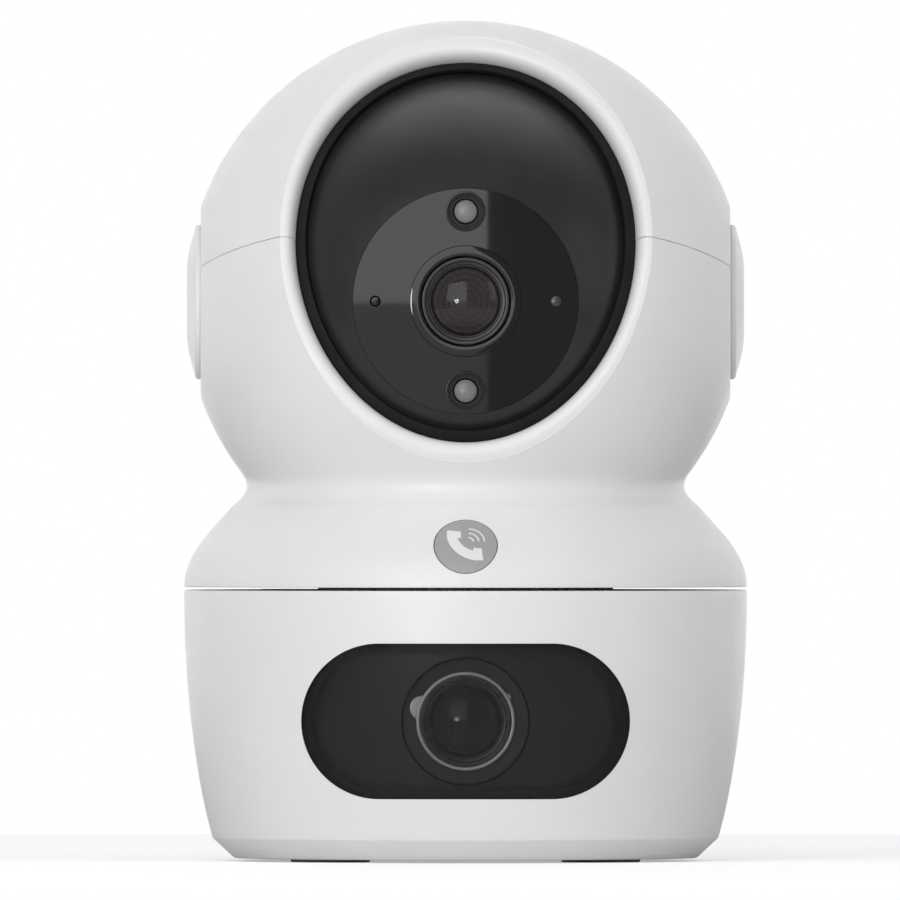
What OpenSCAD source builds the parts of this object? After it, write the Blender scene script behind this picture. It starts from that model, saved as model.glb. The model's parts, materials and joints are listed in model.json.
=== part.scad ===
// Pan-tilt home camera with a second, fixed camera in its base.
// +Z is up, the front faces -Y, and the origin is the centre of the underside of the feet.

/* [Base] */
// Largest radius of the base and of the shoulder above it
body_r = 47; // [44:0.5:56]
// Height of the top edge of the base
base_top = 45.25; // [43:0.25:54]
// Height of the underside of the base above the surface it stands on
ground_gap = 0.5; // [0.3:0.1:1]
// Radius of the flat underside
under_r = 38.6; // [38:0.2:40]
// Radius at the top of the bottom chamfer
chamfer_r = 42.2; // [41:0.2:43]
// Height of the bottom chamfer
chamfer_h = 3.34; // [2:0.1:4]
// Wall thickness of the base shell
base_wall = 2.6; // [2.4:0.1:3]
// Thickness of the deck that carries the pan drive
deck_t = 2.4; // [2:0.1:3]
// Depth of the gear well above the deck
well_h = 5.45; // [5.4:0.05:6]
// Radius of a rubber foot
foot_r = 6.6; // [5:0.2:7]
// Distance of the feet from the middle, left to right
foot_x = 22.5; // [20:0.5:24]
// Distance of the feet from the middle, front to back
foot_y = 18; // [16:0.5:20]

/* [Base window] */
// Height of the middle of the window
window_z = 23.6; // [22:0.2:25]
// Half of the width of the window
window_half_w = 27.2; // [24:0.2:30]
// Half of the height of the window
window_half_h = 12.83; // [11:0.1:13]
// Thickness of the smoked window
window_t = 1.4; // [1:0.1:1.5]
// Radius of the fixed lens barrel
fixed_barrel_r = 7.6; // [6:0.1:8]

/* [Shoulder and head] */
// Gap between the base and the turning head
slit = 0.5; // [0.4:0.1:1]
// Height of the tilt axis above the bottom edge of the shoulder
tilt_rise = 47.55; // [47:0.25:57]
// Height of the smooth neck above the bottom edge of the shoulder
neck_h = 16.3; // [15:0.1:17]
// Smallest radius of the neck
neck_r = 36.4; // [35:0.2:38]
// Radius of the globe
head_r = 47; // [46.5:0.25:56]
// Wall thickness of the head shells
head_wall = 2.2; // [1.8:0.1:2.4]
// Distance from the middle to the flat sides of the globe
side_x = 44.16; // [43.5:0.1:45]
// Slope of the seam between the head shells, rising to the front
seam_tilt = 14.8; // [10:0.2:20]
// Height of the seam above the tilt axis
seam_rise = 1.8; // [1:0.1:3]
// Upward slope of the opening for the ball
open_tilt = 17.65; // [14:0.1:20]
// Half of the width of the opening at its inner edge
open_half_w = 28.2; // [25:0.2:29]
// Half of the height of the opening at its inner edge
open_half_h = 33.2; // [30:0.2:34]
// Radius of the side caps
cap_r = 12.9; // [12.6:0.1:14]
// How far a side cap stands proud of the flat side
cap_proud = 2.34; // [1.5:0.1:2.6]

/* [Ball] */
// Radius of the ball
ball_r = 41.2; // [40:0.2:41.4]
// Wall thickness of the ball
ball_wall = 2; // [1.6:0.1:2.2]
// Distance from the middle to the flat sides of the ball
ball_side = 33; // [32.6:0.1:33.4]
// Depth of the joint between the ball halves in front of the tilt axis
ball_split = 8; // [7:0.5:10]
// Radius of the flat face disc
disc_r = 18.7; // [18.4:0.1:20]
// Thickness of the face disc
disc_t = 1.6; // [1.2:0.1:1.8]
// Radius of the main lens barrel
barrel_r = 7.4; // [6:0.1:8]
// Distance of the spotlights above and below the lens
light_z = 14.9; // [14:0.1:15]
// Outer radius of a spotlight cup
cup_r = 3.3; // [2.6:0.1:3.4]
// Distance of the microphone and of the status light beside the lens
dot_x = 15; // [14:0.1:15.2]

/* [Drives] */
// Module of the gears
gear_m = 0.8; // [0.8:0.01:0.82]
// Teeth of the pan gear
pan_teeth = 60; // [58:1:60]
// Teeth of both pinions
pinion_teeth = 12; // [12:1:13]
// Teeth of the fixed tilt gear
sun_teeth = 24; // [24:1:25]
// Radius of the turning spindle at the turntable
spindle_r = 8; // [7.6:0.1:8.6]
// Radius of the wire passage in the spindle
wire_r = 6; // [5:0.1:6.4]
// Radius of the trunnions of the ball
trunnion_r = 6; // [5.6:0.1:6.2]
// Radius of a motor can
motor_r = 10; // [9:0.1:10.2]
// Length of a motor can
motor_l = 15; // [12:0.5:16]

/* [Buttons] */
// Radius of the call button
call_r = 5.2; // [4.6:0.1:5.6]
// Travel of the call button
call_travel = 0.6; // [0.4:0.1:0.8]
// Radius of the reset button
reset_r = 1.5; // [1.2:0.1:1.7]
// Travel of the reset button
reset_travel = 0.5; // [0.3:0.1:0.6]

/* [Power and sound] */
// Width of the plug recess
recess_w = 12.6; // [12.4:0.1:14]
// Height of the plug recess
recess_h = 7; // [6.8:0.1:8]
// Radius of the speaker
speaker_r = 13; // [11:0.2:13.2]

/* [Clearances] */
// Radial gap of a running shaft in its bore
run_gap = 0.05; // [0.03:0.01:0.08]
// Gap between moving pieces that never touch
free_gap = 0.3; // [0.25:0.05:0.5]
// Gap between pieces fitted together
fit_gap = 0.1; // [0.05:0.01:0.15]

/* [Hidden] */
$fn = 96;

// Finishes
white_shell = [0.90, 0.90, 0.90];
gloss_black = [0.06, 0.06, 0.07];
smoke = [0.12, 0.12, 0.13];
dark_grey = [0.22, 0.22, 0.23];
pcb_green = [0.10, 0.35, 0.20];
steel = [0.72, 0.73, 0.75];
acetal = [0.86, 0.84, 0.78];

// Heights that the pieces share
chamfer_top = ground_gap + chamfer_h;
cover_r = under_r - 2.1;
cover_t = 2.2;
shoulder_z = base_top + slit;
tilt_z = shoulder_z + tilt_rise;
deck_top = base_top - well_h;
deck_z = deck_top - deck_t;
table_z = shoulder_z + 0.45;
table_t = 2.4;
table_top = table_z + table_t;
table_r = body_r - head_wall - 1.1;
flange_r = 16.5;
flange_t = 2.2;
step_r = spindle_r + 3.5;
washer_t = 0.7;
washer_top = table_z - free_gap;
clip_z = table_top + free_gap;
clip_t = 0.8;
spindle_top = clip_z + clip_t + 0.6;
groove_depth = 0.9;

// Small screws, all of one size
screw_r = 1;
screw_head_r = 1.9;
screw_head_h = 1.2;

// Feet and their screws
foot_recess = 0.7;
cover_boss_top = ground_gap + 4;
cover_screw_seat = ground_gap + 2.1;

// Outline of the base wall, from the chamfer to the top edge
function bezier(p, t) =
    pow(1 - t, 3) * p[0] + 3 * t * pow(1 - t, 2) * p[1] + 3 * t * t * (1 - t) * p[2] + t * t * t * p[3];
function curve(p, steps) = [for (i = [0:steps]) bezier(p, i / steps)];
base_rise = base_top - chamfer_top;
base_bulge = body_r - chamfer_r;
wall_curve = curve([
    [chamfer_r, chamfer_top],
    [chamfer_r + 0.354 * base_bulge, chamfer_top + 0.137 * base_rise],
    [body_r, chamfer_top + 0.487 * base_rise],
    [body_r, base_top]
], 14);
base_path = concat([[under_r, ground_gap]], wall_curve);

// Outline of the shoulder, then of the neck fillet that runs into the globe
neck_foot = [neck_r + 2.6, shoulder_z + neck_h - 2.85];
neck_head_z = shoulder_z + neck_h + 2.95;
neck_head_r = sqrt(pow(head_r, 2) - pow(tilt_z - neck_head_z, 2));
globe_lean = (tilt_z - neck_head_z) / neck_head_r;
shoulder_bezier = [
    [body_r, shoulder_z],
    [body_r, shoulder_z + 5.45],
    [neck_foot[0] + 3.6, neck_foot[1] - 4.2],
    neck_foot
];
neck_bezier = [
    neck_foot,
    [neck_foot[0] - 2.6, neck_foot[1] + 2.0],
    [neck_head_r - 2.4 * globe_lean, neck_head_z - 2.4],
    [neck_head_r, neck_head_z]
];
neck_curve = curve(neck_bezier, 7);
neck_rest = [for (i = [1:len(neck_curve) - 1]) neck_curve[i]];
shoulder_path = concat(curve(shoulder_bezier, 12), neck_rest);

// Outline of the globe, from the neck to its top
globe_steps = 24;
globe_start = atan2(neck_head_z - tilt_z, neck_head_r);
globe_arc = [
    for (i = [1:globe_steps])
        let (a = globe_start + (90 - globe_start) * i / globe_steps)
        [max(0, head_r * cos(a)), tilt_z + head_r * sin(a)]
];
head_path = concat(shoulder_path, globe_arc);

// A path moved sideways, towards the axis where d is positive
function aim(a, b) = (b - a) / norm(b - a);
function moved(path, d) = [
    for (i = [0:len(path) - 1])
        let (u = aim(path[max(i - 1, 0)], path[min(i + 1, len(path) - 1)]))
        path[i] + d * [-u[1], u[0]]
];

// A solid of revolution under a path, moved inwards by d
module turned(path, d) {
    edge = moved(path, d);
    last = edge[len(edge) - 1];
    rotate_extrude() polygon(concat([[0, edge[0][1]]], edge, [[0, last[1]]]));
}

// Straight rods along the axes
module rod_x(r, x0, x1) {
    translate([x0, 0, 0]) rotate([0, 90, 0]) cylinder(r = r, h = x1 - x0);
}
module rod_y(r, y0, y1) {
    translate([0, y0, 0]) rotate([-90, 0, 0]) cylinder(r = r, h = y1 - y0);
}
module rod_z(r, z0, z1) {
    translate([0, 0, z0]) cylinder(r = r, h = z1 - z0);
}
module block(size, z0) {
    translate([-size[0] / 2, -size[1] / 2, z0]) cube(size);
}
module mirrored_x() {
    children();
    mirror([1, 0, 0]) children();
}
module at_corners(x, y) {
    for (sx = [-1, 1], sy = [-1, 1]) translate([sx * x, sy * y, 0]) children();
}

// Involute spur gear with a little backlash, its first tooth pointing along +X
pressure = 25;
tooth_play = 0.1;
function inv(a) = tan(a) * 180 / PI - a;
function spot(r, a) = [r * cos(a), r * sin(a)];
function tooth(n, k) =
    let (
        pitch = gear_m * n / 2,
        ground = pitch * cos(pressure),
        root = pitch - 1.2 * gear_m,
        tip = pitch + 0.8 * gear_m,
        start = max(ground, root),
        half = 90 / n - tooth_play / pitch * 180 / PI + inv(pressure),
        radii = [for (i = [0:3]) start + (tip - start) * i / 3],
        spread = [for (r = radii) half - inv(acos(min(1, ground / r)))],
        mid = k * 360 / n
    )
    concat(
        [spot(root, mid - spread[0])],
        [for (i = [0:3]) if (radii[i] > root + 0.01) spot(radii[i], mid - spread[i])],
        [for (i = [3:-1:0]) if (radii[i] > root + 0.01) spot(radii[i], mid + spread[i])],
        [spot(root, mid + spread[0])]
    );
function tooth_ring(n) = [for (k = [0:n - 1]) each tooth(n, k)];
module gear(n, h) {
    linear_extrude(h) polygon(tooth_ring(n));
}
pinion_tip = gear_m * (pinion_teeth / 2 + 0.8);
pan_centres = gear_m * (pan_teeth + pinion_teeth) / 2;
tilt_centres = gear_m * (sun_teeth + pinion_teeth) / 2;
pinion_phase = 180 / pinion_teeth;

// ---- Base ----

module stadium(half_w, half_h, y0, y1) {
    translate([0, y0, window_z]) rotate([-90, 0, 0]) linear_extrude(y1 - y0) {
        translate([-(half_w - half_h), 0]) circle(half_h);
        translate([half_w - half_h, 0]) circle(half_h);
        square([2 * (half_w - half_h), 2 * half_h], center = true);
    }
}

// A layer of the round wall between two depths, behind a stadium outline
module wall_patch(half_w, half_h, d0, d1) {
    intersection() {
        difference() {
            turned(base_path, d0);
            turned(base_path, d1);
        }
        stadium(half_w, half_h, -body_r - 2, -10);
    }
}

gasket_t = 0.3;
gasket_w = 1.5;
socket_y = 39.5;
socket_z = 9.6;
board_z = 8;
board_t = 1.6;
usb_h = 3.26;
usb_z = board_z + board_t + usb_h / 2;
recess_wall = 1.2;
speaker_angle = 45;
speaker_z = 23.5;
speaker_out = 41.2;

module speaker_place() {
    rotate([0, 0, speaker_angle - 90]) translate([0, speaker_out, speaker_z]) children();
}

// Holes of the speaker grille, in rings
module grille_holes() {
    speaker_place() {
        rod_y(0.8, -4, 8);
        for (ring = [1:3], k = [0:6 * ring - 1]) {
            rotate([0, k * 60 / ring, 0]) translate([3 * ring, 0, 0]) rod_y(0.9, -4, 8);
        }
    }
}

module plug_recess(grow, y0, y1) {
    w = recess_w + 2 * grow;
    h = recess_h + 2 * grow;
    translate([-w / 2, y0, usb_z - h / 2]) cube([w, y1 - y0, h]);
}

module cover_posts() {
    at_corners(foot_x, foot_y) rod_z(3.2, cover_boss_top, deck_z + 1);
}

module base_shell() {
    inner = moved(base_path, base_wall);
    lip_r = body_r - base_wall - 1.2;
    color(white_shell) difference() {
        union() {
            rotate_extrude() difference() {
                polygon(concat([[0, ground_gap]], base_path, [[0, base_top]]));
                intersection() {
                    polygon(concat([[0, inner[0][1]]], inner, [[0, base_top - 0.1]]));
                    translate([0, ground_gap + cover_t]) square([body_r, base_top - 2 - ground_gap - cover_t]);
                }
                translate([0, ground_gap - 1]) square([cover_r + fit_gap, cover_t + 1.1]);
                translate([0, base_top - 3]) square([lip_r, 4]);
            }
            intersection() {
                rod_z(body_r, deck_z, deck_top);
                turned(base_path, base_wall / 2);
            }
            cover_posts();
            intersection() {
                plug_recess(recess_wall, socket_y, body_r);
                turned(base_path, base_wall / 2);
            }
        }
        wall_patch(window_half_w + fit_gap, window_half_h + fit_gap, -2, window_t + gasket_t + 0.05);
        stadium(window_half_w - gasket_w, window_half_h - gasket_w, -body_r - 2, -30);
        plug_recess(0, socket_y - 3, body_r + 2);
        grille_holes();
        rod_z(wire_r, deck_z - 1, deck_top + 1);
        translate([-pan_centres, 0, 0]) rod_z(3.5, deck_z - 1, deck_top + 1);
        at_corners(foot_x, foot_y) rod_z(screw_r, cover_boss_top - 1, cover_boss_top + 7);
        spindle_screw_places() rod_z(screw_r, deck_z + 0.4, deck_top + 1);
        motor_screw_places() rod_z(screw_r, deck_z - 1, deck_top - 0.4);
    }
}

module base_cover() {
    color(white_shell) difference() {
        union() {
            rod_z(cover_r, ground_gap, ground_gap + cover_t);
            at_corners(foot_x, foot_y) rod_z(4.4, ground_gap + 1, cover_boss_top);
            main_board_places() rod_z(2.5, ground_gap + 1, board_z);
            rod_z(6.5, ground_gap + 1, ground_gap + 6.5);
        }
        at_corners(foot_x, foot_y) rod_z(foot_r + fit_gap, ground_gap - 1, ground_gap + foot_recess);
        at_corners(foot_x, foot_y) rod_z(screw_head_r + 0.2, ground_gap - 1, cover_screw_seat);
        at_corners(foot_x, foot_y) rod_z(screw_r + 0.2, ground_gap, cover_boss_top + 1);
        main_board_places() rod_z(screw_r, board_z - 4, board_z + 1);
        rod_z(4, ground_gap - 1, ground_gap + 5.5);
    }
}

module rubber_feet() {
    color(dark_grey) at_corners(foot_x, foot_y) rod_z(foot_r, 0, ground_gap + foot_recess);
}

insert_hole_r = 2.55;
module tripod_insert() {
    color("goldenrod") difference() {
        rod_z(4, ground_gap, ground_gap + 5.5);
        rod_z(insert_hole_r, ground_gap - 1, ground_gap + 5);
    }
}

// A pan-head screw with its head above z = 0 and its shank going down
module screw(length) {
    rod_z(screw_head_r, 0, screw_head_h);
    rod_z(screw_r, -length, 0.2);
}

module cover_screws() {
    color(steel) at_corners(foot_x, foot_y) translate([0, 0, cover_screw_seat]) {
        rotate([180, 0, 0]) screw(7);
    }
}

module front_window() {
    color(smoke) wall_patch(window_half_w, window_half_h, 0.03, window_t);
}

module window_gasket() {
    color(dark_grey) difference() {
        wall_patch(window_half_w - 0.1, window_half_h - 0.1, window_t, window_t + gasket_t);
        stadium(window_half_w - gasket_w, window_half_h - gasket_w, -body_r - 2, -30);
    }
}

// The fixed camera looks along -Y at the height of the window
module at_window() {
    translate([0, 0, window_z]) children();
}
fixed_board_y = -26.4;
fixed_front_y = -41.6;
frame_post = [15, 8.5];
module lens_frame() {
    color(gloss_black) difference() {
        union() {
            difference() {
                wall_patch(window_half_w + 2.4, window_half_h + 0.6, base_wall + 0.05, base_wall + 1.3);
                at_window() rod_y(10.7, -body_r, -20);
            }
            intersection() {
                at_window() for (sx = [-1, 1], sz = [-1, 1]) {
                    translate([sx * frame_post[0], 0, sz * frame_post[1]]) rod_y(2.4, -body_r, fixed_board_y);
                }
                turned(base_path, base_wall + 0.05);
            }
        }
        at_window() for (sx = [-1, 1], sz = [-1, 1]) {
            translate([sx * frame_post[0], 0, sz * frame_post[1]]) rod_y(screw_r, fixed_board_y - 5, -10);
        }
    }
}

module fixed_lens_bezel() {
    color("silver") at_window() difference() {
        rod_y(fixed_barrel_r + 0.6, fixed_front_y, fixed_front_y + 1);
        rod_y(fixed_barrel_r + 0.02, fixed_front_y - 1, fixed_front_y + 2);
    }
}

module fixed_lens_barrel() {
    color(gloss_black) at_window() difference() {
        rod_y(fixed_barrel_r, fixed_front_y, -29);
        rod_y(fixed_barrel_r - 1.1, fixed_front_y - 1, fixed_front_y + 2);
        rod_y(2, fixed_front_y, -28);
    }
}

module fixed_lens_glass() {
    color("lightsteelblue") at_window() rod_y(fixed_barrel_r - 1.15, fixed_front_y + 0.5, fixed_front_y + 2);
}

module fixed_lens_holder() {
    color(gloss_black) at_window() difference() {
        union() {
            rod_y(10.4, fixed_front_y + 1.1, -28);
            translate([-11, -28.4, -11]) cube([22, 2, 22]);
        }
        rod_y(fixed_barrel_r, fixed_front_y, -29);
        rod_y(4.5, -30, -25);
    }
}

module fixed_sensor_board() {
    color(pcb_green) at_window() difference() {
        translate([-19, fixed_board_y, -11.6]) cube([38, 1.2, 23.2]);
        for (sx = [-1, 1], sz = [-1, 1]) {
            translate([sx * frame_post[0], 0, sz * frame_post[1]]) rod_y(screw_r + 0.2, -30, -20);
        }
    }
}

module main_board_places() {
    for (sx = [-1, 1], y = [-10, 30]) translate([sx * 13.6, y, 0]) children();
}

module main_board() {
    color(pcb_green) difference() {
        union() {
            translate([-17, -14, board_z]) cube([34, 50, board_t]);
            translate([-6, -2, board_z + board_t]) cube([12, 12, 1.2]);
            translate([-5, 16, board_z + board_t]) cube([10, 8, 1]);
        }
        main_board_places() rod_z(screw_r + 0.2, board_z - 1, board_z + 5);
    }
}

module board_screws() {
    color(steel) {
        main_board_places() translate([0, 0, board_z + board_t]) screw(5);
        at_window() for (sx = [-1, 1], sz = [-1, 1]) {
            translate([sx * frame_post[0], fixed_board_y + 1.2, sz * frame_post[1]]) {
                rotate([-90, 0, 0]) screw(5);
            }
        }
    }
}

module power_socket() {
    color(steel) difference() {
        translate([-4.47, socket_y - 7.3, board_z + board_t]) cube([8.94, 7.3 - fit_gap, usb_h]);
        translate([-4.1, socket_y - 6, board_z + board_t + 0.35]) cube([8.2, 8, usb_h - 0.7]);
    }
}

module antenna() {
    color("goldenrod") rotate([0, 0, 135]) {
        translate([body_r - base_wall - 3.2, -9, 24]) cube([0.6, 18, 8]);
    }
}

module speaker_frame() {
    color(dark_grey) speaker_place() difference() {
        union() {
            rod_y(speaker_r, -4, -2.2);
            rod_y(speaker_r - 1.6, -6, -3.9);
            rod_y(6.6, -9, -5.9);
        }
        rod_y(speaker_r - 1.4, -3.2, 0);
        rod_y(4, -7.5, 0);
    }
}

module speaker_cone() {
    color(gloss_black) speaker_place() difference() {
        rod_y(speaker_r - 1.5, -3.2, -2.4);
        translate([0, -2.4, 0]) sphere(r = 0.5);
    }
}

motor_ear = 12.5;
module motor_screw_places() {
    for (s = [-1, 1]) translate([-pan_centres, s * motor_ear, 0]) children();
}
module spindle_screw_places() {
    for (a = [90, 210, 330]) rotate([0, 0, a]) translate([flange_r - 2.3, 0, 0]) children();
}

// A small geared stepper with its shaft pointing up from z = 0
module motor() {
    difference() {
        union() {
            rod_z(motor_r, -motor_l, 0);
            for (s = [-1, 1]) translate([0, s * motor_ear, 0]) rod_z(2.6, -0.8, 0);
            block([5.2, 2 * motor_ear, 0.8], -0.8);
        }
        rod_z(1.5 + run_gap, -10, 1);
        for (s = [-1, 1]) translate([0, s * motor_ear, 0]) rod_z(screw_r + 0.1, -2, 1);
    }
}

module pan_motor() {
    color(steel) translate([-pan_centres, 0, deck_z]) motor();
}

module deck_screws() {
    color(steel) {
        motor_screw_places() translate([0, 0, deck_z - 0.8]) rotate([180, 0, 0]) screw(2.6);
        spindle_screw_places() translate([0, 0, deck_top + flange_t]) screw(3.8);
    }
}

module pan_spindle() {
    color(acetal) difference() {
        union() {
            rod_z(flange_r, deck_top, deck_top + flange_t);
            rod_z(step_r, deck_top, washer_top - washer_t);
            rod_z(spindle_r, deck_top, spindle_top);
        }
        rod_z(wire_r, deck_top - 1, spindle_top + 1);
        difference() {
            rod_z(spindle_r + 1, clip_z, clip_z + clip_t);
            rod_z(spindle_r - groove_depth, clip_z - 1, clip_z + 3);
        }
        spindle_screw_places() rod_z(screw_r + 0.2, deck_top - 1, deck_top + flange_t + 1);
    }
}

module thrust_washer() {
    color("dimgray") difference() {
        rod_z(step_r - 0.2, washer_top - washer_t, washer_top);
        rod_z(spindle_r + fit_gap, washer_top - 2, washer_top + 1);
    }
}

module spindle_clip() {
    color(steel) difference() {
        rod_z(spindle_r + 2, clip_z, clip_z + clip_t);
        rod_z(spindle_r - groove_depth + 0.02, clip_z - 1, clip_z + 2);
    }
}

module pinion(h, shaft) {
    gear(pinion_teeth, h);
    rod_z(1.5, -shaft, h);
}

pinion_z = deck_top + 1;
pan_gear_z = deck_top + 1.4;
module pan_pinion() {
    color(acetal) translate([-pan_centres, 0, pinion_z]) rotate([0, 0, pinion_phase]) {
        pinion(table_z - 0.8 - pinion_z, pinion_z - deck_z + 9);
    }
}

// ---- Head ----

module at_tilt() {
    translate([0, 0, tilt_z]) children();
}

pad_x = 38.5;
pad_r = 15;
hub_hole_r = 9;
flange_seat = 1.76;
bush_flange_r = cap_r - 0.8;
cone_w = open_half_w / sqrt(pow(ball_r + 0.7, 2) - pow(open_half_w, 2));
cone_h = open_half_h / sqrt(pow(ball_r + 0.7, 2) - pow(open_half_h, 2));

// An oval cone that widens from the tilt axis out through the front of the globe
oval_steps = 48;
module oval_cone(grow) {
    near = 15;
    reach = head_r + 6;
    w = (cone_w + grow) * near;
    h = (cone_h + grow * 1.6) * near;
    oval = [for (i = [0:oval_steps - 1]) [w * cos(i * 360 / oval_steps), h * sin(i * 360 / oval_steps)]];
    at_tilt() rotate([90 - open_tilt, 0, 0]) translate([0, 0, near]) {
        linear_extrude(reach - near, scale = reach / near) polygon(oval);
    }
}

module above_seam() {
    translate([0, 0, tilt_z + seam_rise]) rotate([-seam_tilt, 0, 0]) block([140, 140, 80], 0);
}

call_t = 0.5;
call_spot = bezier(shoulder_bezier, call_t);
call_slope = aim(bezier(shoulder_bezier, call_t - 0.02), bezier(shoulder_bezier, call_t + 0.02));
call_lift = atan2(-call_slope[0], call_slope[1]);

// Places children with their +Z along the outward normal of the call button
module at_call() {
    translate([0, -call_spot[0], call_spot[1]]) rotate([90 - call_lift, 0, 0]) children();
}
call_flange_z = -4.5;
call_board_z = call_flange_z - call_travel - free_gap - 1.2;

module table_screw_places() {
    for (a = [45:90:315]) rotate([0, 0, a]) translate([neck_foot[0] - 4, 0, 0]) children();
}
module gear_screw_places() {
    for (a = [30:120:270]) rotate([0, 0, a]) translate([20.4, 0, 0]) children();
}

// Both head shells as one body, before the seam parts them
module head_body() {
    skin = moved(head_path, head_wall);
    inner = [for (i = [len(skin) - 1:-1:0]) [i == len(skin) - 1 ? 0 : skin[i][0], max(shoulder_z, skin[i][1])]];
    difference() {
        union() {
            rotate_extrude() polygon(concat(head_path, inner));
            at_tilt() mirrored_x() rod_x(pad_r, pad_x, side_x + 1);
            intersection() {
                at_tilt() difference() {
                    sphere(head_r - 1);
                    sphere(ball_r + 0.7);
                }
                oval_cone(0.08);
            }
            table_screw_places() rod_z(3.2, table_top, neck_foot[1] - 0.2);
            at_call() mirrored_x() translate([8.6, 0, call_board_z]) cylinder(r = 1.6, h = -1.4 - call_board_z);
        }
        at_tilt() mirrored_x() translate([side_x, -20, -20]) cube(40);
        oval_cone(0);
        at_tilt() mirrored_x() {
            rod_x(hub_hole_r + fit_gap, pad_x - 1, side_x + 1);
            rod_x(bush_flange_r + fit_gap, side_x - flange_seat, side_x + 1);
            bush_screw_places() rod_x(0.8, pad_x + 1, side_x);
        }
        at_call() translate([0, 0, -5]) cylinder(r = call_r + 0.15, h = 9);
        table_screw_places() rod_z(screw_r, table_top - 1, table_top + 5);
    }
}

module head_lower_shell() {
    color(white_shell) difference() {
        head_body();
        above_seam();
    }
}

module head_upper_shell() {
    color(white_shell) intersection() {
        head_body();
        above_seam();
    }
}

module turntable() {
    color(white_shell) difference() {
        rod_z(table_r, table_z, table_top);
        rod_z(spindle_r + run_gap, table_z - 1, table_top + 1);
        translate([-12, -body_r, table_z - 1]) cube([24, body_r - 35.5, table_t + 2]);
        table_screw_places() rod_z(screw_r + 0.2, table_z - 1, table_top + 1);
        table_screw_places() rod_z(screw_head_r + 0.1, table_z - 1, table_z + screw_head_h);
        gear_screw_places() rod_z(screw_r + 0.2, table_z - 1, table_top + 1);
    }
}

module pan_gear() {
    color(acetal) difference() {
        translate([0, 0, pan_gear_z]) gear(pan_teeth, table_z - pan_gear_z);
        rod_z(18, pan_gear_z - 1, table_z + 1);
        gear_screw_places() rod_z(screw_r, pan_gear_z + 1, table_z + 1);
    }
}

module turntable_screws() {
    color(steel) {
        table_screw_places() translate([0, 0, table_z + screw_head_h]) rotate([180, 0, 0]) screw(5.4);
        gear_screw_places() translate([0, 0, table_top]) screw(5);
    }
}

module bush_screw_places() {
    for (a = [90, 270]) rotate([a, 0, 0]) translate([0, 0, hub_hole_r + 1.5]) children();
}

// A domed cap with a short spigot, on the right side
module side_cap() {
    dome_flat = 5.5;
    rim = 0.94;
    color(white_shell) at_tilt() rotate([0, 90, 0]) {
        rotate_extrude() polygon(concat(
            [[0, side_x - 1.2], [5.4, side_x - 1.2], [5.4, side_x], [cap_r, side_x], [cap_r, side_x + rim - 0.3]],
            curve([
                [cap_r - 0.3, side_x + rim],
                [cap_r - 2.5, side_x + rim + 0.5],
                [dome_flat + 3, side_x + cap_proud],
                [dome_flat, side_x + cap_proud]
            ], 5),
            [[0, side_x + cap_proud]]
        ));
    }
}

module side_cap_right() {
    side_cap();
}

module side_cap_left() {
    mirror([1, 0, 0]) side_cap();
}

sun_x = ball_side + 1.3;
module tilt_bush() {
    difference() {
        union() {
            rod_x(bush_flange_r, side_x - flange_seat, side_x - 0.16);
            rod_x(hub_hole_r, pad_x - 0.5, side_x - 1);
        }
        rod_x(trunnion_r + run_gap, pad_x - 2, side_x + 1);
        bush_screw_places() rod_x(0.9, side_x - 3, side_x + 1);
        bush_screw_places() rod_x(1.4, side_x - 1, side_x + 1);
    }
}

module tilt_bush_left() {
    color(acetal) at_tilt() mirror([1, 0, 0]) tilt_bush();
}

module tilt_sun_gear() {
    color(acetal) at_tilt() {
        tilt_bush();
        difference() {
            translate([sun_x, 0, 0]) rotate([0, 90, 0]) rotate([0, 0, 90]) gear(sun_teeth, pad_x - 0.5 - sun_x);
            rod_x(trunnion_r + run_gap, sun_x - 1, pad_x);
        }
    }
}

module bush_screws() {
    color(steel) at_tilt() mirrored_x() bush_screw_places() {
        rod_x(1.3, side_x - 1, side_x - 0.2);
        rod_x(0.8, side_x - 4.4, side_x - 0.9);
    }
}

module call_button() {
    color("gray") {
        intersection() {
            at_call() translate([0, 0, call_flange_z + 0.4]) cylinder(r = call_r, h = 6);
            turned(shoulder_path, 0.02);
        }
        at_call() translate([0, 0, call_flange_z]) cylinder(r = call_r + 0.7, h = 0.8);
    }
}

module call_switch_board() {
    color(pcb_green) at_call() {
        block([21, 4.4, 0.8], call_board_z - 0.8);
        block([4, 4, 1.3], call_board_z - 0.1);
    }
}

// ---- Ball ----

disc_y = -sqrt(pow(ball_r, 2) - pow(disc_r, 2));
ledge_y = disc_y + disc_t;
light_board_y = ledge_y + 1.5;
sensor_y = -20;
camera_post_x = 22;
column = [20, 24];
card_angle = 50;
card_x = 3.4;
reset_x = -9;
card_in = 22;
reset_out = sqrt(pow(ball_r, 2) - pow(abs(reset_x) + reset_r, 2)) - 0.4;
reset_flange = sqrt(pow(ball_r - ball_wall, 2) - pow(abs(reset_x) + reset_r + 0.6, 2)) - 0.3;
reset_in = reset_flange - 1.4;
reset_switch_top = reset_in - reset_travel - free_gap;

// Places children with their +Z out through the hidden card slot
module at_slot() {
    at_tilt() rotate([90 + card_angle, 0, 0]) children();
}
module column_places() {
    at_tilt() for (sx = [-1, 1], sz = [-1, 1]) translate([sx * column[0], 0, sz * column[1]]) children();
}
module light_places() {
    at_tilt() for (s = [-1, 1]) translate([0, 0, s * light_z]) children();
}

module ball_solid(d) {
    at_tilt() intersection() {
        sphere(ball_r - d);
        cube([2 * (ball_side - d), 3 * ball_r, 3 * ball_r], center = true);
    }
}

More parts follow.
